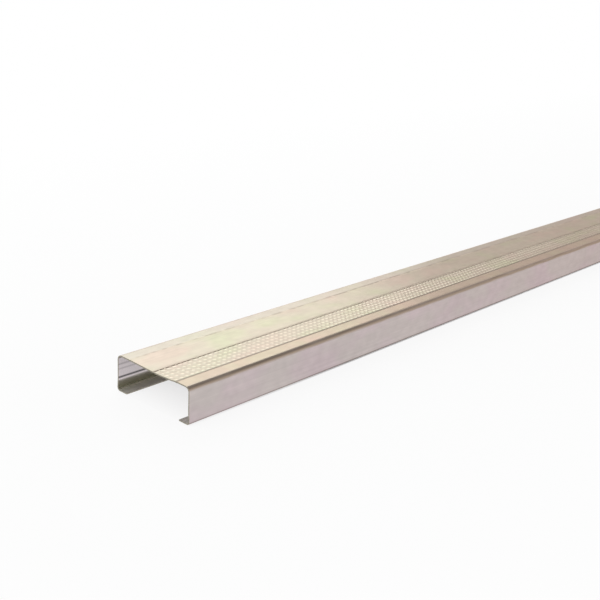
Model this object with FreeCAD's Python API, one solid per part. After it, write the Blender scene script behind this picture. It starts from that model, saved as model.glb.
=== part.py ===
import FreeCAD, Part
import math
import os

# Ceiling furring channel: one strip of galvanised steel, roll-formed to a lipped C.
# Millimetres. X runs along the stock, Y across the web, Z up. The lips lie on Z = 0.

# Overall sizes
LENGTH = 3000.0
WIDTH = 47.0
HEIGHT = 17.0
SHEET = 0.6

# Lips, turned in at the foot of each flange
LIP = 6.4

# Each flange is upright down to a soft crease, and leans out from there to its foot
CREASE_HEIGHT = 6.3
FOOT_LEAN = 3.5  # degrees

# Three V grooves pressed into the web's face, one on the centre line, and the near one deepest
GROOVE_SPACING = 15.0
GROOVE_WIDTH = 1.2
GROOVE_DEPTH = 0.1
NEAR_GROOVE_DEPTH = 0.16

# The web is flat outside the outer grooves, and sinks from them to the centre line
WEB_HOLLOW = 0.5

# Radii on the inside of each kind of bend
WEB_BEND = 1.9
FOOT_BEND = 1.0
CREASE_BEND = 1.5
GROOVE_BEND = 0.25

ALONG = FreeCAD.Vector(1, 0, 0)


def side_corners():
    """Corners of the near side's outer face, from lip edge to web, as (y, z, inside bend radius)."""
    half = WIDTH / 2
    lean = math.radians(FOOT_LEAN)
    # The foot is widest on its round, which stays a little inside the corner of the leaning flange
    corner_gap = (FOOT_BEND + SHEET) * (math.tan(math.pi / 4 + lean / 2) - 1)
    foot = half + corner_gap
    flange = foot - CREASE_HEIGHT * math.tan(lean)
    return [
        (LIP - half, 0.0, 0.0),
        (-foot, 0.0, FOOT_BEND),
        (-flange, CREASE_HEIGHT, CREASE_BEND),
        (-flange, HEIGHT, WEB_BEND),
    ]


def web_height(y):
    """Height of the web's face, without its grooves, at a place across it."""
    return HEIGHT - WEB_HOLLOW * max(0.0, 1 - abs(y) / GROOVE_SPACING)


def groove_corners(centre, depth):
    """Corners of one groove in the web's face, as (y, z, inside bend radius)."""
    near_edge = centre - GROOVE_WIDTH / 2
    far_edge = centre + GROOVE_WIDTH / 2
    return [
        (near_edge, web_height(near_edge), GROOVE_BEND),
        (centre, web_height(centre) - depth, GROOVE_BEND),
        (far_edge, web_height(far_edge), GROOVE_BEND),
    ]


def section_corners():
    """Corners of the whole outer face, from the near lip over the web to the far lip."""
    near_side = side_corners()
    far_side = [(-y, z, bend) for y, z, bend in reversed(near_side)]
    near_groove = groove_corners(-GROOVE_SPACING, NEAR_GROOVE_DEPTH)
    middle_groove = groove_corners(0.0, GROOVE_DEPTH)
    far_groove = groove_corners(GROOVE_SPACING, GROOVE_DEPTH)
    return near_side + near_groove + middle_groove + far_groove + far_side


def directions(points):
    """Unit vectors from each point of a path to the next."""
    return [(after - before).normalize() for before, after in zip(points, points[1:])]


def moved_right(points, distance):
    """Corners of the same path shifted to its right, so that every run stays parallel."""
    rights = [direction.cross(ALONG) for direction in directions(points)]
    before = [rights[0]] + rights
    after = rights + [rights[-1]]
    shifted = []
    for point, right_in, right_out in zip(points, before, after):
        reach = distance / (1 + right_in.dot(right_out))
        shifted.append(point + (right_in + right_out) * reach)
    return shifted


def face_radii(points, bends, thickness):
    """Bend radii on the path itself and on the sheet's other face, to the path's right."""
    runs = directions(points)
    own = []
    other = []
    for run_in, run_out, bend in zip(runs, runs[1:], bends):
        turns_right = run_in.cross(run_out).dot(ALONG) < 0
        own.append(bend + thickness if turns_right else bend)
        other.append(bend if turns_right else bend + thickness)
    return own, other


def rounded_path(points, radii):
    """Lines and arcs along a path, each inner corner rounded to its own radius."""
    edges = []
    start = points[0]
    for before, corner, after, radius in zip(points, points[1:], points[2:], radii):
        back = (before - corner).normalize()
        ahead = (after - corner).normalize()
        half_turn = (math.pi - back.getAngle(ahead)) / 2
        tangent = radius * math.tan(half_turn)
        rise = radius / math.cos(half_turn) - radius
        bend_start = corner + back * tangent
        bend_middle = corner + (back + ahead).normalize() * rise
        bend_end = corner + ahead * tangent
        edges.append(Part.makeLine(start, bend_start))
        edges.append(Part.Arc(bend_start, bend_middle, bend_end).toShape())
        start = bend_end
    edges.append(Part.makeLine(start, points[-1]))
    return edges


def sheet_section(corners, thickness):
    """Face of bent sheet: its outer path, the parallel inner path and the two sheared edges."""
    outer = [FreeCAD.Vector(0, y, z) for y, z, bend in corners]
    inner = moved_right(outer, thickness)
    bends = [bend for y, z, bend in corners[1:-1]]
    outer_radii, inner_radii = face_radii(outer, bends, thickness)
    edges = rounded_path(outer, outer_radii)
    edges.append(Part.makeLine(outer[-1], inner[-1]))
    edges += rounded_path(inner[::-1], inner_radii[::-1])
    edges.append(Part.makeLine(inner[0], outer[0]))
    return Part.Face(Part.Wire(edges))


def furring_channel():
    """The stock: its section drawn out along X, with both ends cut square."""
    channel = sheet_section(section_corners(), SHEET).extrude(ALONG * LENGTH)
    channel.translate(ALONG * (-LENGTH / 2))
    return channel


os.makedirs("parts", exist_ok=True)
furring_channel().exportStep("parts/furring_channel.step")
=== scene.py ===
import math

import bpy
from mathutils import Matrix, Vector


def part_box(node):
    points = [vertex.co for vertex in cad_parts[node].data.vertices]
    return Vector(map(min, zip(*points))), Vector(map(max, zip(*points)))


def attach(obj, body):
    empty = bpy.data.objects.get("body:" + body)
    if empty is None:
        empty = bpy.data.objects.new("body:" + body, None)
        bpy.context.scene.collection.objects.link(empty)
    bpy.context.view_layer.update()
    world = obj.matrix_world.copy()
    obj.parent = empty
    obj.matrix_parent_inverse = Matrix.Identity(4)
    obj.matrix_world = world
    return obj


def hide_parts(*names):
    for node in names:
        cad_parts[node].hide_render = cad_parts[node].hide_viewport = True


# Ceiling furring channel: galvanised sheet with a dotted band in its web, on a pale studio floor.
# Metres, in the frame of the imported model: X along the stock, Y across the web, Z up.

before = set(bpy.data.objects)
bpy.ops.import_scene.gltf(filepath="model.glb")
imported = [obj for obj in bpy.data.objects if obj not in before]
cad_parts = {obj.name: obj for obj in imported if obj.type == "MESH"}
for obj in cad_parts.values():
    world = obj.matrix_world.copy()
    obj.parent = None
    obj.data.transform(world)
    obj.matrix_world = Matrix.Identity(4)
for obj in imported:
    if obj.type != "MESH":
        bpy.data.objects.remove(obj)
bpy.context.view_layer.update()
NODE = "furring_channel"
low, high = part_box(NODE)

MM = 0.001
LENGTH = high.x - low.x
WIDTH = high.y - low.y
HEIGHT = high.z - low.z
NEAR_END = Vector((low.x, 0, low.z))

# The section, as the solid has it
SHEET = 0.6 * MM
LIP = 6.4 * MM
CREASE_HEIGHT = 6.3 * MM
FOOT_LEAN = math.radians(3.5)
GROOVE_SPACING = 15.0 * MM
GROOVE_WIDTH = 1.2 * MM
GROOVE_DEPTH = 0.1 * MM
NEAR_GROOVE_DEPTH = 0.16 * MM
WEB_HOLLOW = 0.5 * MM
WEB_BEND = 1.9 * MM
FOOT_BEND = 1.0 * MM
CREASE_BEND = 1.5 * MM
GROOVE_BEND = 0.25 * MM
BEND_STEP = math.radians(12)

# The corner of the section's path, counted from the near foot, after which the dotted run starts
NEAR_GROOVE_END = 5

# Pips left standing in the web between its near and middle grooves, with the sheet pressed in around
# them. Their crowns carry a painted highlight and the sheet around them painted shade, as shares of light
# kept.
DOT_ROWS = 5
DOT_ROW_PITCH = 2.85 * MM
DOT_PITCH = 3.0 * MM
DOT_RADIUS = 1.2 * MM
DOT_HEIGHT = 0.18 * MM
DOT_CROWN = 0.5 * MM
DOT_CROWN_HIGHLIGHT = 1.3
DOT_GAP_SHADE = 0.98
DOT_COLUMNS = round(LENGTH / DOT_PITCH)
COARSE_STEP = 20  # dot columns between the cross-sections of the plain sheet
FACE_SIDES = 8
BACK_SIDES = 4

# Places of the materials in the mesh
OUTER_ZINC, INNER_ZINC, CUT_STEEL = range(3)

# The surface map: bands across the square, two for each strip of the stock's length and four for its
# cut edges
MAP_STRIPS = 5
SKIN_BANDS = 2 * MAP_STRIPS
CUT_BANDS = 4
CUT_BAND_SHARE = 0.06  # of a skin band's height
MAP_GAP = 0.002

# Noise in the materials: scale, stretch along each axis and detail
STREAKS = (1.0, (5, 900, 900), 3)
MOTTLE = (42.0, (0.45, 1, 1), 2)
TINT = (60.0, (0.6, 1, 1), 2)
SPANGLE = (260.0, (0.7, 1, 1), 1)
GRAIN = (1500.0, (1, 1, 1), 2)
DASHES = (190.0, (1, 0.1, 0.1), 1)
RIPPLE = (55.0, (1, 0.1, 0.1), 1)
SHEAR_MARKS = (1.0, (1800, 1800, 900), 3)

# Values of a noise where what it steers starts and is full
NOISE_REACH = (0.3, 0.7)
CAST_TINT = (0.4, 0.6)
GREEN_TINT = (0.5, 0.68)
PINK_TINT = (0.46, 0.3)
DASH_NOISE = (0.42, 0.58)
WAVE_NOISE = (0.35, 0.65)

# Colours of the outer face
FLANGE_LILAC = (0.572, 0.487, 0.50, 1)
FLANGE_GREY = (0.557, 0.503, 0.487, 1)
WEB_CREAM = (0.55, 0.515, 0.427, 1)
WEB_GREEN = (0.525, 0.535, 0.40, 1)
WEB_PINK = (0.575, 0.50, 0.427, 1)
FAR_STRIP = (0.545, 0.53, 0.48, 1)
FAR_STRIP_SHARE = 0.5
BEND_SHADE_BROWN = (0.52, 0.43, 0.37, 1)
GLANCING_TINT = (0.85, 0.69, 0.645, 1)

# Painted shade: share of each colour of light kept on the web's near strip and on the bends' dark streak
STRIP_PINK = (0.96, 0.875, 0.86, 1)
STRIP_CREAM = (0.93, 0.92, 0.85, 1)
BEND_STREAK = (0.78, 0.74, 0.67, 1)

# Colours of the inner face and of the cut edges
INSIDE_ZINC = (0.64, 0.588, 0.60, 1)
# Painted shade low on the flanges' inside
INSIDE_LOW_SHADE = (0.38, 0.385, 0.27, 1)
# The lip's lighter colour is painted light
INSIDE_LIP = (0.80, 0.785, 0.72, 1)
CUT_DARK = (0.25, 0.23, 0.18, 1)
CUT_LIGHT = (0.43, 0.395, 0.33, 1)

# Change of light under the streaks and mottle, and of roughness under the streaks
OUTER_MOTTLE = 0.05
INNER_MOTTLE = 0.04
SPANGLE_CHANGE = 0.04
STREAK_ROUGHNESS = 0.03
OUTER_ROUGHNESS = (0.32, 0.39)
INNER_ROUGHNESS = (0.18, 0.25)
LIP_ROUGHNESS = 0.31  # more than the rest of the inner face
CUT_ROUGHNESS = (0.42, 0.58)

# Relief of the coatings
RELIEF_DEPTH = 0.03 * MM
STREAK_RELIEF = 0.6  # the rest is grain
OUTER_RELIEF = 0.25
INNER_RELIEF = 0.15

# The web's outer strips start beyond the outer grooves
STRIP_EDGE = GROOVE_SPACING + GROOVE_WIDTH / 2

# Painted shade in the near groove and painted light in the middle one: place across the web and share of
# light kept
GROOVE_SHADING = (
    (-GROOVE_SPACING, 0.5),
    (0.0, 1.1),
)
GROOVE_SHADING_REACH = (0.25 * MM, 0.7 * MM)

# Painted shade and highlight in dashes along the far groove: reach to each side, and change of light on each
# kind
BROKEN_LINE_REACH = (0.3 * MM, 0.9 * MM)
BROKEN_LINE_CHANGE = (-0.12, 0.16)

# Places round the outer bends, as the upward part of the normal: 0 on a flange and 1 on the web
WEB_TURN = (0.3, 0.95)
# The bends' dark streak is painted shade
STREAK_TURN = (0.51, 0.69)
STREAK_REACH = (0.1, 0.3)
# The bright crest is a painted highlight
CREST_TURN = 0.95
CREST_REACH = (0.02, 0.045)
CREST_HIGHLIGHT_GAIN = 0.3
BEND_START = WIDTH / 2 - WEB_BEND - 2 * SHEET

# Bend of the outer face, as the upward part of the normal times the sideways part: above 0 on the web's
# bends, which get a brown painted shade, and below 0 on the feet, which get a painted shade
BEND_SHADE_REACH = (0.1, 0.45)
FOOT_SHADE_REACH = (-0.1, -0.4)
FOOT_SHADE = 0.6

# Lines along the inside of each flange: a painted highlight under a painted dark shade at the crease, and
# two marks that the rolls left higher up; height, reach to each side and share of light kept
ROLL_MARKS_AND_CREASE_SHADING = (
    (5.2 * MM, 0.5 * MM, 1.3),
    (6.2 * MM, 0.75 * MM, 0.05),
    (10.1 * MM, 0.6 * MM, 0.74),
    (12.3 * MM, 0.7 * MM, 0.68),
)

# Painted shade low on the inside of each flange: heights where each layer starts and is full, and its share
LOW_SHADE_LAYERS = (
    (5.2 * MM, 4.2 * MM, 0.6),
    (4.2 * MM, 1.6 * MM, 0.4),
)

# Parts of the inner face's normal where the flange's painted shade and the lip's painted light start and are
# full
LOW_SHADE_SIDEWAYS = (0.2, 0.6)
LIP_UPWARD = (0.85, 0.99)

# The studio: a floor, and a sky that is white to well above the horizon and dark overhead
WHITE = (1, 1, 1, 1)
FLOOR_REACH = 30.0
FLOOR_COLOUR = (0.92, 0.92, 0.92, 1)
FLOOR_ROUGHNESS = 0.9
FLOOR_GLOSS = 0.1
FLOOR_GLOW_NEAR = 0.86
FLOOR_GLOW_FAR = 1.0
FLOOR_GLOW_FROM = 0.03
FLOOR_GLOW_TO = 0.5
# Under the channel the glow falls from its open ends inwards, set by place: a painted shadow over the real
# one
FLOOR_GLOW_MOUTH = 0.82
FLOOR_GLOW_INSIDE = 0.2
FLOOR_GLOW_DEPTH = 0.1
SKY_LOW = 0.9
SKY_LOW_TO = 0.24
SKY_WHITE_FROM = 0.31
SKY_WHITE_TO = 0.40
SKY_DARK_FROM = 0.65
SKY_DARK = 0.26

# Two soft lights, placed from the near cut end
KEY_FROM_END = Vector((0.92, 1.20, 1.15))
KEY_AIM_FROM_END = Vector((0.1, 0, 0))
KEY_SIZE = 1.4
KEY_POWER = 7.6
KEY_COLOUR = (0.93, 0.99, 0.98)
FILL_FROM_END = Vector((-2.2, 0.0, 2.2))
FILL_SIZE = 5.0
FILL_POWER = 90
FILL_COLOUR = (1, 1, 1)

# The camera, placed from the near cut end
CAMERA_FROM_END = Vector((-237.5, -286.4, 177.0)) * MM
CAMERA_YAW = math.radians(48.90)
CAMERA_PITCH = math.radians(18.86)
CAMERA_ROLL = math.radians(-3.28)
CAMERA_SENSOR = 36
CAMERA_LENS = 959.4 / 600 * CAMERA_SENSOR
CAMERA_REACH = (0.01, 200)


def side_corners():
    """Near side of the outer face, from lip edge to web, as (y, z, inside bend radius)."""
    half = WIDTH / 2
    # The foot is widest on its round, which stays a little inside the corner of the leaning flange
    foot = half + (FOOT_BEND + SHEET) * (math.tan(math.pi / 4 + FOOT_LEAN / 2) - 1)
    flange = foot - CREASE_HEIGHT * math.tan(FOOT_LEAN)
    return [
        (LIP - half, 0.0, 0.0),
        (-foot, 0.0, FOOT_BEND),
        (-flange, CREASE_HEIGHT, CREASE_BEND),
        (-flange, HEIGHT, WEB_BEND),
    ]


def web_height(y):
    """Height of the web's face, without its grooves, at a place across it."""
    return HEIGHT - WEB_HOLLOW * max(0.0, 1 - abs(y) / GROOVE_SPACING)


def groove_corners(centre, depth):
    """One groove of the web's face, as (y, z, inside bend radius)."""
    near_edge = centre - GROOVE_WIDTH / 2
    far_edge = centre + GROOVE_WIDTH / 2
    return [
        (near_edge, web_height(near_edge), GROOVE_BEND),
        (centre, web_height(centre) - depth, GROOVE_BEND),
        (far_edge, web_height(far_edge), GROOVE_BEND),
    ]


def section_corners():
    """The whole outer face, from the near lip over the web to the far lip."""
    near_side = side_corners()
    far_side = [(-y, z, bend) for y, z, bend in reversed(near_side)]
    near_groove = groove_corners(-GROOVE_SPACING, NEAR_GROOVE_DEPTH)
    middle_groove = groove_corners(0.0, GROOVE_DEPTH)
    far_groove = groove_corners(GROOVE_SPACING, GROOVE_DEPTH)
    return near_side + near_groove + middle_groove + far_groove + far_side


def left_of(direction):
    """Outward normal of the sheet for a run of its outer face."""
    return Vector((-direction.y, direction.x))


def section_faces():
    """Points and normals of the sheet's outer and inner faces, and where the dotted run starts.

    Both faces have as many points, and a bend's arcs share a centre, as in bent sheet.
    """
    corners = section_corners()
    points = [Vector((y, z)) for y, z, bend in corners]
    runs = [(b - a).normalized() for a, b in zip(points, points[1:])]
    first = left_of(runs[0])
    outer = [(points[0], first)]
    inner = [(points[0] - first * SHEET, first)]
    dotted = 0
    for index, (y, z, bend) in enumerate(corners[1:-1]):
        normal_in = left_of(runs[index])
        normal_out = left_of(runs[index + 1])
        # A clockwise turn counts as positive, and there the inside of the bend is the inner face
        turn = normal_in.angle_signed(normal_out)
        side = 1 if turn > 0 else -1
        outer_radius = bend + SHEET if side > 0 else bend
        middle = (normal_in + normal_out).normalized()
        centre = points[index + 1] - side * middle * outer_radius / math.cos(turn / 2)
        steps = max(2, math.ceil(abs(turn) / BEND_STEP))
        for step in range(steps + 1):
            normal = Matrix.Rotation(-turn * step / steps, 2) @ normal_in
            on_outer = centre + side * normal * outer_radius
            outer.append((on_outer, normal))
            inner.append((on_outer - normal * SHEET, normal))
        if index == NEAR_GROOVE_END:
            dotted = len(outer) - 1
    last = left_of(runs[-1])
    outer.append((points[-1], last))
    inner.append((points[-1] - last * SHEET, last))
    return outer, inner, dotted


class SheetMesh:
    """Collects the channel's vertices, faces, face normals by corner, materials and map."""

    def __init__(self):
        self.places = []
        self.across = []
        self.faces = []
        self.normals = []
        self.materials = []
        self.spots = []
        self.known = {}

    def vertex(self, key, place, across):
        """The vertex known by a key, made the first time at its place and share of the way across."""
        if key not in self.known:
            self.known[key] = len(self.places)
            self.places.append(place)
            self.across.append(across)
        return self.known[key]

    def face(self, vertices, normals, material, band, spots):
        """Adds a face with a normal at each corner, and each corner's spot on a band of the map."""
        self.faces.append(vertices)
        self.normals.extend(normals)
        self.materials.append(material)
        self.spots.extend(map_spot(band, u, v) for u, v in spots)

    def build(self, name, materials):
        """The finished object."""
        mesh = bpy.data.meshes.new(name)
        mesh.from_pydata(self.places, [], self.faces)
        for material in materials:
            mesh.materials.append(material)
        mesh.polygons.foreach_set("material_index", self.materials)
        mesh.polygons.foreach_set("use_smooth", [True] * len(self.faces))
        surface_map = mesh.uv_layers.new(name="OFBake")
        surface_map.uv.foreach_set("vector", [part for spot in self.spots for part in spot])
        mesh.normals_split_custom_set(self.normals)
        mesh.update()
        piece = bpy.data.objects.new(name, mesh)
        bpy.context.scene.collection.objects.link(piece)
        return piece


class Skin:
    """One face of the sheet: its section, which way it faces, its material and its pips' sides."""

    def __init__(self, name, section, outward, material, dot_sides):
        self.name = name
        self.section = section
        self.outward = outward
        self.material = material
        self.dot_sides = dot_sides
        reach = [0.0]
        for (before, _), (after, _) in zip(section, section[1:]):
            reach.append(reach[-1] + (after - before).length)
        self.across = [distance / reach[-1] for distance in reach]

    def face(self, sheet, corners, normals):
        """Adds a face given as seen from outside the channel, turned over on the inner skin."""
        if not self.outward:
            corners = corners[::-1]
            normals = [-normal for normal in reversed(normals)]
        shares = [(sheet.places[corner][0] - low.x) / LENGTH * MAP_STRIPS for corner in corners]
        strip = int(sum(shares) / len(shares))
        spots = [(share - strip, sheet.across[corner]) for share, corner in zip(shares, corners)]
        sheet.face(corners, normals, self.material, 2 * strip + self.outward, spots)

    def line(self, sheet, index, columns):
        """Vertices of one lengthwise line of the skin at the given columns."""
        point = self.section[index][0]
        across = self.across[index]
        return [sheet.vertex((self.name, index, c), (along(c), point.x, point.y), across) for c in columns]

    def across_at(self, index, y):
        """Share of the way across the skin at a place on one of its flat runs."""
        start = self.section[index][0].x
        end = self.section[index + 1][0].x
        share = (y - start) / (end - start)
        return self.across[index] + share * (self.across[index + 1] - self.across[index])


def map_spot(band, u, v):
    """Spot on the surface map, given a band and the shares of the way along and across it."""
    unit = 1 / (SKIN_BANDS + CUT_BANDS * CUT_BAND_SHARE)
    start = min(band, SKIN_BANDS) + max(band - SKIN_BANDS, 0) * CUT_BAND_SHARE
    height = unit * (CUT_BAND_SHARE if band >= SKIN_BANDS else 1)
    return MAP_GAP + u * (1 - 2 * MAP_GAP), start * unit + MAP_GAP + v * (height - 2 * MAP_GAP)


def along(column):
    """Place along the stock of a boundary between columns of dots."""
    return low.x + LENGTH * column / DOT_COLUMNS


def upright(normal):
    """A normal of the section as a normal of the channel."""
    return Vector((0, normal.x, normal.y))


def add_skin(sheet, skin, dotted):
    """A skin but for its dotted run. Lines beside that run have a point at every column."""
    fine = (dotted, dotted + 1)
    for index in range(len(skin.section) - 1):
        if index == dotted:
            continue
        normal_a = upright(skin.section[index][1])
        normal_b = upright(skin.section[index + 1][1])
        for start in range(0, DOT_COLUMNS, COARSE_STEP):
            end = min(start + COARSE_STEP, DOT_COLUMNS)
            columns_a = range(start, end + 1, 1 if index in fine else end - start)
            columns_b = range(end, start - 1, -1 if index + 1 in fine else start - end)
            corners = skin.line(sheet, index, columns_a) + skin.line(sheet, index + 1, columns_b)
            normals = [normal_a] * len(columns_a) + [normal_b] * len(columns_b)
            skin.face(sheet, corners, normals)


def across_run(start, end, row):
    """Point of the dotted run at a row counted from its middle one."""
    y = -GROOVE_SPACING / 2 + row * DOT_ROW_PITCH
    return start + (end - start) * (y - start.x) / (end.x - start.x)


def add_dots(sheet, skin, dotted):
    """The dotted run of a skin: a grid of sunk cells, each with a pip shaped as a cap of a ball."""
    start, flat_normal = skin.section[dotted]
    end = skin.section[dotted + 1][0]
    sunk = flat_normal * DOT_HEIGHT
    between_rows = [across_run(start, end, row - DOT_ROWS / 2) - sunk for row in range(1, DOT_ROWS)]
    lines = [start] + between_rows + [end]
    normal = upright(flat_normal)
    across = upright((end - start).normalized())
    ball = (DOT_RADIUS ** 2 + DOT_HEIGHT ** 2) / (2 * DOT_HEIGHT)
    tilt = math.asin(DOT_RADIUS / ball)
    sides = skin.dot_sides
    quarter = sides // 4
    spokes = []
    for k in range(sides):
        # The first spoke points at the cell's first corner
        turn = math.pi * (2 * k / sides - 0.75)
        spokes.append(Vector((math.cos(turn), 0, 0)) + across * math.sin(turn))
    rim_normals = [normal * math.cos(tilt) + spoke * math.sin(tilt) for spoke in spokes]
    for row in range(DOT_ROWS):
        middle = across_run(start, end, row - (DOT_ROWS - 1) / 2)
        for column in range(DOT_COLUMNS):
            peak = Vector(((along(column) + along(column + 1)) / 2, middle.x, middle.y))
            foot = peak - normal * DOT_HEIGHT
            grid = []
            for line, c in ((row, column), (row, column + 1), (row + 1, column + 1), (row + 1, column)):
                edge = line in (0, DOT_ROWS)
                key = (skin.name, dotted + (line > 0), c) if edge else (skin.name, "row", line, c)
                across_grid = skin.across_at(dotted, lines[line].x)
                grid.append(sheet.vertex(key, (along(c), lines[line].x, lines[line].y), across_grid))
            rim = []
            for k, spoke in enumerate(spokes):
                place = foot + spoke * DOT_RADIUS
                key = (skin.name, "rim", row, column, k)
                rim.append(sheet.vertex(key, place, skin.across_at(dotted, place.y)))
            top = sheet.vertex((skin.name, "top", row, column), peak, skin.across_at(dotted, peak.y))
            for side in range(4):
                part = [rim[(side * quarter + k) % sides] for k in range(quarter, -1, -1)]
                corners = [grid[side], grid[(side + 1) % 4]] + part
                skin.face(sheet, corners, [normal] * len(corners))
            for k in range(sides):
                after = (k + 1) % sides
                normals = [rim_normals[k], rim_normals[after], normal]
                skin.face(sheet, [rim[k], rim[after], top], normals)


def add_cut_ends(sheet, outer, inner, dotted):
    """Both ends of the stock, cut square."""
    rows = range(1, DOT_ROWS)
    for column, facing in ((0, -1), (DOT_COLUMNS, 1)):
        outer_rows = [sheet.known[(outer.name, "row", k, column)] for k in rows]
        inner_rows = [sheet.known[(inner.name, "row", k, column)] for k in reversed(rows)]
        for index in range(len(outer.section) - 1):
            outer_edge = outer.line(sheet, index, [column]) + (outer_rows if index == dotted else [])
            outer_edge += outer.line(sheet, index + 1, [column])
            inner_edge = inner.line(sheet, index + 1, [column]) + (inner_rows if index == dotted else [])
            inner_edge += inner.line(sheet, index, [column])
            corners = outer_edge + inner_edge
            spots = [(sheet.across[corner], 0) for corner in outer_edge]
            spots += [(sheet.across[corner], 1) for corner in inner_edge]
            if facing > 0:
                corners.reverse()
                spots.reverse()
            band = SKIN_BANDS + (facing > 0)
            sheet.face(corners, [Vector((facing, 0, 0))] * len(corners), CUT_STEEL, band, spots)


def add_lip_edges(sheet, outer, inner):
    """The free edge of each lip."""
    for index, way in ((0, 1), (len(outer.section) - 1, -1)):
        for start in range(0, DOT_COLUMNS, COARSE_STEP):
            end = min(start + COARSE_STEP, DOT_COLUMNS)
            corners = outer.line(sheet, index, [end, start]) + inner.line(sheet, index, [start, end])
            from_share = start / DOT_COLUMNS
            to_share = end / DOT_COLUMNS
            spots = [(to_share, 0), (from_share, 0), (from_share, 1), (to_share, 1)]
            if way < 0:
                corners.reverse()
                spots.reverse()
            band = SKIN_BANDS + CUT_BANDS // 2 + (way < 0)
            sheet.face(corners, [Vector((0, way, 0))] * len(corners), CUT_STEEL, band, spots)


def channel(materials):
    """The channel as one closed mesh."""
    outer_section, inner_section, dotted = section_faces()
    outer = Skin("outer", outer_section, True, OUTER_ZINC, FACE_SIDES)
    inner = Skin("inner", inner_section, False, INNER_ZINC, BACK_SIDES)
    sheet = SheetMesh()
    for skin in (outer, inner):
        add_skin(sheet, skin, dotted)
        add_dots(sheet, skin, dotted)
    add_cut_ends(sheet, outer, inner, dotted)
    add_lip_edges(sheet, outer, inner)
    return sheet.build("galvanised_channel", materials)


class Nodes:
    """Short names for building a node tree."""

    def __init__(self, tree):
        self.tree = tree

    def add(self, kind, inputs=None, **settings):
        """A new node with its settings and inputs: a socket is linked and any other value is set."""
        node = self.tree.nodes.new(kind)
        for name, value in settings.items():
            setattr(node, name, value)
        for name, value in (inputs or {}).items():
            self.feed(node.inputs[name], value)
        return node

    def feed(self, socket, value):
        """Links a socket to another, or sets its value."""
        if isinstance(value, bpy.types.NodeSocket):
            self.tree.links.new(value, socket)
        else:
            socket.default_value = value

    def math(self, operation, first, second=0.0, clamp=False):
        """The result of one sum."""
        node = self.add("ShaderNodeMath", {0: first, 1: second}, operation=operation, use_clamp=clamp)
        return node.outputs[0]

    def plus(self, first, second):
        """Two values added."""
        return self.math("ADD", first, second)

    def minus(self, first, second):
        """One value less another."""
        return self.math("SUBTRACT", first, second)

    def times(self, first, second):
        """Two values multiplied."""
        return self.math("MULTIPLY", first, second)

    def off(self, value, middle):
        """How far a value is from a middle one, to either side."""
        return self.math("ABSOLUTE", self.minus(value, middle))

    def parts(self, vector):
        """The three parts of a vector, by axis."""
        return self.add("ShaderNodeSeparateXYZ", {0: vector}).outputs

    def noise(self, place, scale, stretch, detail):
        """Smooth noise from about 0 to 1, with its own stretch along each axis."""
        moved = self.add("ShaderNodeMapping", {"Vector": place, "Scale": stretch})
        settings = {"Vector": moved.outputs[0], "Scale": scale, "Detail": detail}
        return self.add("ShaderNodeTexNoise", settings).outputs["Fac"]

    def span(self, value, start, end, low_end, high_end):
        """A value carried from one range to another, and held at its ends."""
        settings = {"Value": value, "From Min": start, "From Max": end, "To Min": low_end, "To Max": high_end}
        return self.add("ShaderNodeMapRange", settings).outputs[0]

    def vary(self, noise, low_end, high_end):
        """The usual reach of a noise carried to another range."""
        return self.span(noise, *NOISE_REACH, low_end, high_end)

    def blend(self, share, first, second, kind="MIX"):
        """Two colours mixed."""
        node = self.add("ShaderNodeMix", data_type="RGBA", blend_type=kind)
        for socket, value in ((0, share), (6, first), (7, second)):
            self.feed(node.inputs[socket], value)
        return node.outputs[2]

    def shaded(self, colour, kept):
        """A colour with a share of its light kept."""
        return self.blend(1.0, colour, kept, "MULTIPLY")


def new_material(name):
    """A new node material, with the helper for its tree and its shader."""
    material = bpy.data.materials.new(name)
    material.use_nodes = True
    return material, Nodes(material.node_tree), material.node_tree.nodes["Principled BSDF"]


def zinc_shade(nodes, streaks, mottle, change):
    """Share of light kept under the streaks and the mottle of a coating."""
    return nodes.plus(nodes.vary(streaks, -change, change), nodes.vary(mottle, 1 - change, 1 + change))


def zinc_roughness(nodes, streaks, mottle, reach):
    """Roughness of a coating: the mottle's reach, and a little of the streaks."""
    streaked = nodes.vary(streaks, -STREAK_ROUGHNESS, STREAK_ROUGHNESS)
    return nodes.plus(streaked, nodes.vary(mottle, *reach))


def zinc_relief(nodes, shader, streaks, place, strength):
    """Shallow rolling streaks and a fine grain in the coating."""
    grain = nodes.noise(place, *GRAIN)
    relief = nodes.plus(nodes.times(streaks, STREAK_RELIEF), nodes.times(grain, 1 - STREAK_RELIEF))
    bump = nodes.add("ShaderNodeBump", {"Strength": strength, "Distance": RELIEF_DEPTH, "Height": relief})
    nodes.feed(shader.inputs["Normal"], bump.outputs[0])


def dot_shade(nodes, place):
    """Share of light kept on the dotted band: a painted highlight on the crowns, painted shade around them.
    """
    axis = nodes.parts(place)
    band_width = DOT_ROWS * DOT_ROW_PITCH
    band_start = -(GROOVE_SPACING + band_width) / 2
    squares = []
    for value, start, pitch in (
        (axis["X"], low.x, LENGTH / DOT_COLUMNS),
        (axis["Y"], band_start, DOT_ROW_PITCH),
    ):
        cell = nodes.math("FRACT", nodes.math("DIVIDE", nodes.minus(value, start), pitch))
        away = nodes.times(nodes.minus(cell, 0.5), pitch)
        squares.append(nodes.times(away, away))
    away = nodes.math("SQRT", nodes.plus(*squares))
    change = nodes.span(away, DOT_CROWN, DOT_RADIUS, DOT_CROWN_HIGHLIGHT - 1, DOT_GAP_SHADE - 1)
    in_band = nodes.math("LESS_THAN", nodes.off(axis["Y"], -GROOVE_SPACING / 2), band_width / 2)
    return nodes.plus(nodes.times(change, in_band), 1.0)


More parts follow.
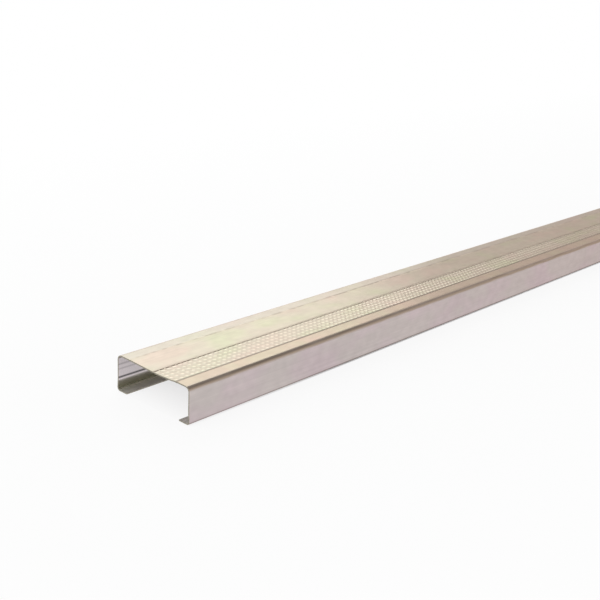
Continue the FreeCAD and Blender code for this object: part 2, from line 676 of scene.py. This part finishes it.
def face_colour(nodes, place, across, upward, ripple):
    """Colour of the outer face: lilac flanges and a cream web, with drifts of green and pink, and painted
    shade on the web's near strip.
    """
    tint = nodes.noise(place, *TINT)
    on_web = nodes.span(upward, *WEB_TURN, 0, 1)
    near_strip = nodes.times(nodes.span(across, -GROOVE_SPACING, -STRIP_EDGE, 0, 1), on_web)
    far_strip = nodes.times(nodes.span(across, GROOVE_SPACING, STRIP_EDGE, 0, FAR_STRIP_SHARE), on_web)
    flange = nodes.blend(nodes.span(tint, *CAST_TINT, 0, 1), FLANGE_LILAC, FLANGE_GREY)
    colour = nodes.blend(on_web, flange, WEB_CREAM)
    green = nodes.times(nodes.span(tint, *GREEN_TINT, 0, 1), nodes.minus(on_web, near_strip))
    colour = nodes.blend(green, colour, WEB_GREEN)
    pink = nodes.times(nodes.span(tint, *PINK_TINT, 0, 1), on_web)
    colour = nodes.blend(pink, colour, WEB_PINK)
    # Painted shade: the web's near strip is darkened, with a pink and cream tint
    strip_shade = nodes.blend(nodes.span(ripple, *CAST_TINT, 0, 1), STRIP_PINK, STRIP_CREAM)
    colour = nodes.blend(near_strip, colour, strip_shade, "MULTIPLY")
    return nodes.blend(far_strip, colour, FAR_STRIP)


def face_shade(nodes, place, across, streaks, mottle):
    """Share of light kept on the outer face: mottle, spangle, and painted light and shade on the pips and in
    the grooves.
    """
    shade = zinc_shade(nodes, streaks, mottle, OUTER_MOTTLE)
    spangle = nodes.noise(place, *SPANGLE)
    shade = nodes.times(shade, nodes.vary(spangle, 1 - SPANGLE_CHANGE, 1 + SPANGLE_CHANGE))
    shade = nodes.times(shade, dot_shade(nodes, place))
    # Painted shade in the near groove, painted light in the middle one
    for line, kept in GROOVE_SHADING:
        streak = nodes.span(nodes.off(across, line), *GROOVE_SHADING_REACH, kept, 1.0)
        shade = nodes.times(shade, streak)
    # Painted shade and painted highlight in dashes along the far groove
    dashes = nodes.span(nodes.noise(place, *DASHES), *DASH_NOISE, *BROKEN_LINE_CHANGE)
    on_far_groove = nodes.span(nodes.off(across, GROOVE_SPACING), *BROKEN_LINE_REACH, 1, 0)
    return nodes.times(shade, nodes.plus(nodes.times(dashes, on_far_groove), 1.0))


def bend_painted_light(nodes, colour, across, facing, ripple):
    """A colour with painted light and shade on the bends: darker brown rounds, a dark streak, a bright crest,
    darker feet.
    """
    upward = facing["Z"]
    bent = nodes.times(nodes.math("ABSOLUTE", facing["Y"]), upward)
    # Painted shade: the web's bends turn a darker brown
    colour = nodes.blend(nodes.span(bent, *BEND_SHADE_REACH, 0, 1), colour, BEND_SHADE_BROWN)
    # Painted shade: a wavering dark streak round each bend
    wave = nodes.span(ripple, *WAVE_NOISE, *STREAK_TURN)
    streak = nodes.span(nodes.off(upward, wave), *STREAK_REACH, 1, 0)
    colour = nodes.blend(streak, colour, BEND_STREAK, "MULTIPLY")
    # Painted highlight: a bright crest where the web starts to bend
    on_bend = nodes.math("GREATER_THAN", nodes.math("ABSOLUTE", across), BEND_START)
    crest = nodes.span(nodes.off(upward, CREST_TURN), *CREST_REACH, CREST_HIGHLIGHT_GAIN, 0)
    colour = nodes.shaded(colour, nodes.plus(nodes.times(crest, on_bend), 1.0))
    # Painted shade on the feet, where they turn under towards the floor
    return nodes.shaded(colour, nodes.span(bent, *FOOT_SHADE_REACH, 1.0, FOOT_SHADE))


def outer_zinc():
    """Zinc on the outer face: a warm web, cooler flanges, rolling streaks, a faint mottle, and painted light
    and shade on its pips, grooves and bends.
    """
    material, nodes, shader = new_material("galvanised_steel")
    coordinates = nodes.add("ShaderNodeTexCoord").outputs
    place = coordinates["Object"]
    facing = nodes.parts(coordinates["Normal"])
    across = nodes.parts(place)["Y"]
    streaks = nodes.noise(place, *STREAKS)
    mottle = nodes.noise(place, *MOTTLE)
    ripple = nodes.noise(place, *RIPPLE)

    colour = face_colour(nodes, place, across, facing["Z"], ripple)
    colour = nodes.shaded(colour, face_shade(nodes, place, across, streaks, mottle))
    nodes.feed(shader.inputs["Base Color"], bend_painted_light(nodes, colour, across, facing, ripple))
    nodes.feed(shader.inputs["Roughness"], zinc_roughness(nodes, streaks, mottle, OUTER_ROUGHNESS))
    shader.inputs["Metallic"].default_value = 1
    shader.inputs["Specular Tint"].default_value = GLANCING_TINT
    zinc_relief(nodes, shader, streaks, place, OUTER_RELIEF)
    return material


def inner_zinc():
    """Zinc on the inner face: brighter than the outer, with roll marks, painted light and shade at the
    crease, painted shade low on the flanges and painted light on the lips.
    """
    material, nodes, shader = new_material("galvanised_steel_inside")
    coordinates = nodes.add("ShaderNodeTexCoord").outputs
    place = coordinates["Object"]
    facing = nodes.parts(coordinates["Normal"])
    height = nodes.parts(place)["Z"]
    streaks = nodes.noise(place, *STREAKS)
    mottle = nodes.noise(place, *MOTTLE)

    shade = zinc_shade(nodes, streaks, mottle, INNER_MOTTLE)
    # Roll marks higher up, and a painted highlight and painted shade at the crease
    for line, reach, kept in ROLL_MARKS_AND_CREASE_SHADING:
        shade = nodes.times(shade, nodes.span(nodes.off(height, line), 0, reach, kept, 1.0))
    # Painted shade low on each flange's inside, in stacked layers
    layers = [nodes.span(height, start, full, 0, share) for start, full, share in LOW_SHADE_LAYERS]
    sideways = nodes.math("ABSOLUTE", facing["Y"])
    low_shade = nodes.times(nodes.plus(*layers), nodes.span(sideways, *LOW_SHADE_SIDEWAYS, 0, 1))
    # Painted light: the lip's upper face is lighter
    lip = nodes.span(facing["Z"], *LIP_UPWARD, 0, 1)
    colour = nodes.blend(low_shade, INSIDE_ZINC, INSIDE_LOW_SHADE)
    colour = nodes.blend(lip, colour, INSIDE_LIP)
    nodes.feed(shader.inputs["Base Color"], nodes.shaded(colour, shade))
    roughness = zinc_roughness(nodes, streaks, mottle, INNER_ROUGHNESS)
    nodes.feed(shader.inputs["Roughness"], nodes.plus(roughness, nodes.times(lip, LIP_ROUGHNESS)))
    shader.inputs["Metallic"].default_value = 1
    zinc_relief(nodes, shader, streaks, place, INNER_RELIEF)
    return material


def sheared_edge():
    """Bare steel where the sheet was cut, with fine marks of the shear."""
    material, nodes, shader = new_material("sheared_edge")
    place = nodes.add("ShaderNodeTexCoord").outputs["Object"]
    marks = nodes.noise(place, *SHEAR_MARKS)
    ramp = nodes.add("ShaderNodeValToRGB", {"Fac": marks})
    for stop, position, colour in zip(ramp.color_ramp.elements, NOISE_REACH, (CUT_DARK, CUT_LIGHT)):
        stop.position = position
        stop.color = colour
    nodes.feed(shader.inputs["Base Color"], ramp.outputs[0])
    nodes.feed(shader.inputs["Roughness"], nodes.vary(marks, *CUT_ROUGHNESS))
    shader.inputs["Metallic"].default_value = 1
    return material


def studio_world():
    """White to well above the horizon, and dark overhead."""
    world = bpy.data.worlds.new("studio")
    bpy.context.scene.world = world
    world.use_nodes = True
    nodes = Nodes(world.node_tree)
    direction = nodes.add("ShaderNodeTexCoord").outputs["Generated"]
    ramp = nodes.add("ShaderNodeValToRGB", {"Fac": nodes.parts(direction)["Z"]})
    stops = ramp.color_ramp.elements
    stops[0].position = SKY_LOW_TO
    stops[0].color = (SKY_LOW, SKY_LOW, SKY_LOW, 1)
    stops[1].position = SKY_DARK_FROM
    stops[1].color = (SKY_DARK, SKY_DARK, SKY_DARK, 1)
    for position in (SKY_WHITE_FROM, SKY_WHITE_TO):
        stops.new(position).color = WHITE
    nodes.feed(world.node_tree.nodes["Background"].inputs["Color"], ramp.outputs["Color"])


def floor():
    """A wide pale floor, white to the eye and in the metal but for the channel's soft shadow, painted deeper
    under the channel.
    """
    mesh = bpy.data.meshes.new("floor")
    corners = [(x * FLOOR_REACH, y * FLOOR_REACH, 0) for x, y in ((-1, -1), (1, -1), (1, 1), (-1, 1))]
    mesh.from_pydata(corners, [], [(0, 1, 2, 3)])
    plane = bpy.data.objects.new("floor", mesh)
    plane.location.z = low.z
    bpy.context.scene.collection.objects.link(plane)

    material, nodes, shader = new_material("pale_floor")
    shader.inputs["Base Color"].default_value = FLOOR_COLOUR
    shader.inputs["Roughness"].default_value = FLOOR_ROUGHNESS
    shader.inputs["Specular IOR Level"].default_value = FLOOR_GLOSS
    ray = nodes.add("ShaderNodeLightPath").outputs
    seen = nodes.math("ADD", ray["Is Camera Ray"], ray["Is Glossy Ray"], clamp=True)
    seen = nodes.math("ADD", seen, ray["Is Transmission Ray"], clamp=True)
    place = nodes.parts(nodes.add("ShaderNodeTexCoord").outputs["Object"])
    beyond_end = nodes.minus(nodes.math("ABSOLUTE", place["X"]), LENGTH / 2)
    beyond_side = nodes.minus(nodes.math("ABSOLUTE", place["Y"]), WIDTH / 2)
    away = nodes.math("MAXIMUM", beyond_end, beyond_side)
    open_share = nodes.span(away, FLOOR_GLOW_FROM, FLOOR_GLOW_TO, FLOOR_GLOW_NEAR, FLOOR_GLOW_FAR)
    # Painted shadow: the glow under the channel fades with depth from its open ends
    covered_share = nodes.span(beyond_end, 0.0, -FLOOR_GLOW_DEPTH, FLOOR_GLOW_MOUTH, FLOOR_GLOW_INSIDE)
    covered = nodes.math("LESS_THAN", away, 0.0)
    covered_change = nodes.times(covered, nodes.minus(covered_share, open_share))
    share = nodes.times(seen, nodes.plus(open_share, covered_change))
    glow = nodes.add("ShaderNodeEmission", {"Color": WHITE, "Strength": 1.0})
    mixed = nodes.add("ShaderNodeMixShader", {0: share, 1: shader.outputs[0], 2: glow.outputs[0]})
    nodes.feed(material.node_tree.nodes["Material Output"].inputs["Surface"], mixed.outputs[0])
    mesh.materials.append(material)


def soft_light(name, place, aim, size, power, colour):
    """A square soft light that faces a point."""
    lamp = bpy.data.lights.new(name, "AREA")
    lamp.shape = "SQUARE"
    lamp.size = size
    lamp.energy = power
    lamp.color = colour
    holder = bpy.data.objects.new(name, lamp)
    holder.location = place
    holder.rotation_euler = (aim - place).to_track_quat("-Z", "Y").to_euler()
    bpy.context.scene.collection.objects.link(holder)


def camera():
    """The photograph's viewpoint."""
    data = bpy.data.cameras.new("camera")
    data.lens = CAMERA_LENS
    data.sensor_width = CAMERA_SENSOR
    data.clip_start, data.clip_end = CAMERA_REACH
    eye = bpy.data.objects.new("camera", data)
    turn = Matrix.Rotation(-CAMERA_YAW, 4, "Z")
    turn @= Matrix.Rotation(math.pi / 2 - CAMERA_PITCH, 4, "X")
    turn @= Matrix.Rotation(-CAMERA_ROLL, 4, "Z")
    eye.matrix_world = Matrix.Translation(NEAR_END + CAMERA_FROM_END) @ turn
    bpy.context.scene.collection.objects.link(eye)
    bpy.context.scene.camera = eye


piece = channel([outer_zinc(), inner_zinc(), sheared_edge()])
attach(piece, "root")
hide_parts(NODE)

floor()
studio_world()
key_place = NEAR_END + KEY_FROM_END
key_aim = NEAR_END + KEY_AIM_FROM_END
soft_light("key", key_place, key_aim, KEY_SIZE, KEY_POWER, KEY_COLOUR)
soft_light("fill", NEAR_END + FILL_FROM_END, NEAR_END, FILL_SIZE, FILL_POWER, FILL_COLOUR)
camera()
bpy.context.scene.view_settings.view_transform = "Standard"
